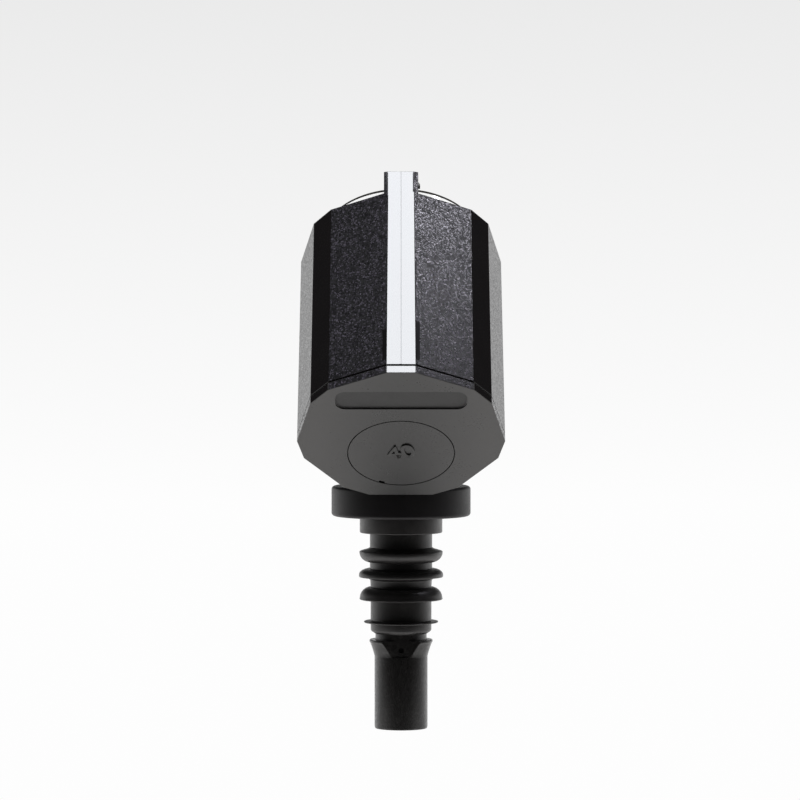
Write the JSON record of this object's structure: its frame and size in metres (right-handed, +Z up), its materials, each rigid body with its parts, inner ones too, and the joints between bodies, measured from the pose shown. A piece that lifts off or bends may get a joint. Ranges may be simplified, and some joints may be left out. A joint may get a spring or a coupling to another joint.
{
  "type": "measured pourer",
  "caption": "Measured bottle pourer: faceted black chamber leaning over a collar and lipped stopper, with a spout, clear end cap, stem tube and ball valves that cut off the measure.",
  "frame": {"origin": "centre of the collar's underside, where the stopper's plug land starts and the collar rests on the bottle's lip", "axes": "+Z up along the bottle's axis; the base face of the chamber looks towards -Y, which is the pictured front; +X to the right in that view"},
  "size_m": [0.0478, 0.071, 0.1319],
  "materials": {
    "chamber_plastic": "black, wide facets spark-grained, narrow facets polished",
    "cap_plastic": "smooth satin black",
    "collar_plastic": "satin black",
    "stem_plastic": "satin black",
    "stopper_rubber": "matt black elastomer",
    "seal_rubber": "matt black seal",
    "clear_plastic": "clear moulded plastic",
    "inner_plastic": "natural moulded plastic",
    "ball_steel": "polished steel ball"
  },
  "bodies": {
    "pourer": {"chamber_body": "chamber_plastic", "base_cap": "cap_plastic", "base_gasket": "seal_rubber", "measure_plug": "cap_plastic", "displacer_cup": "inner_plastic", "sight_cap": "clear_plastic", "sight_seal": "seal_rubber", "guide_tube": "inner_plastic", "outlet_block": "cap_plastic", "outlet_seat": "seal_rubber", "breather_tube": "inner_plastic", "tube_clip": "inner_plastic", "neck_tube": "stem_plastic", "neck_gasket": "seal_rubber", "collar": "collar_plastic", "stopper": "stopper_rubber", "stem_tube": "stem_plastic", "stem_seat": "seal_rubber", "ball_retainer": "inner_plastic"},
    "shut_off_ball": {"shut_off_ball": "ball_steel"},
    "stem_ball": {"stem_ball": "ball_steel"}
  },
  "joints": [
    {"name": "shut_off_travel", "type": "slide", "parent": "pourer", "child": "shut_off_ball", "axis": [0, 0.6361, 0.7716], "range_m": [0, 0.0268]},
    {"name": "stem_ball_travel", "type": "slide", "parent": "pourer", "child": "stem_ball", "axis": [0, 0, 1], "range_m": [0, 0.0052]}
  ]
}
